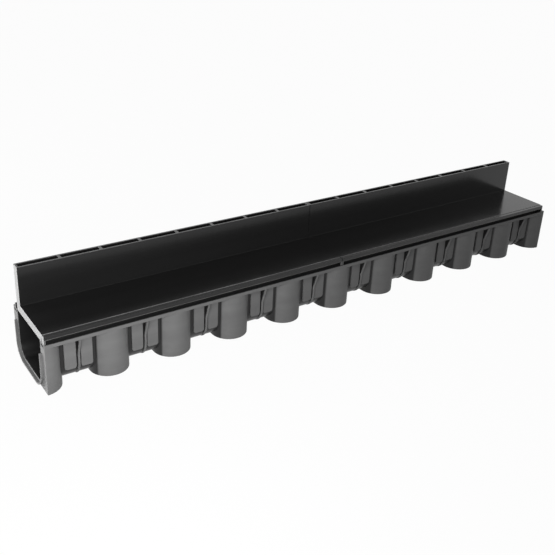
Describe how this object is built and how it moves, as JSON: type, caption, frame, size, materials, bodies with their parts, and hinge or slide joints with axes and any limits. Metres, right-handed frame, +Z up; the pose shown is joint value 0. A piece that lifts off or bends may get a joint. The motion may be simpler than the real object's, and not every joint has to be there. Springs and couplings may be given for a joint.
{
  "type": "channel drain",
  "caption": "Linear channel drain: a U-shaped plastic trough on hollow pillars, closed by flat covers with a raised, offset slot wall that lets surface water in.",
  "frame": {"origin": "on the ground, at the centre of the overall box's base", "axes": "+X along the channel, away from the joining collar; +Y across it, towards the slot wall; +Z up"},
  "size_m": [1.004, 0.128, 0.1505],
  "materials": {
    "channel_polypropylene": "moulded black polypropylene, satin",
    "cover_polypropylene": "moulded black polypropylene, semi-gloss"
  },
  "bodies": {
    "root": {"channel_body": "channel_polypropylene", "slot_cover_near": "cover_polypropylene", "slot_cover_far": "cover_polypropylene"}
  },
  "joints": []
}
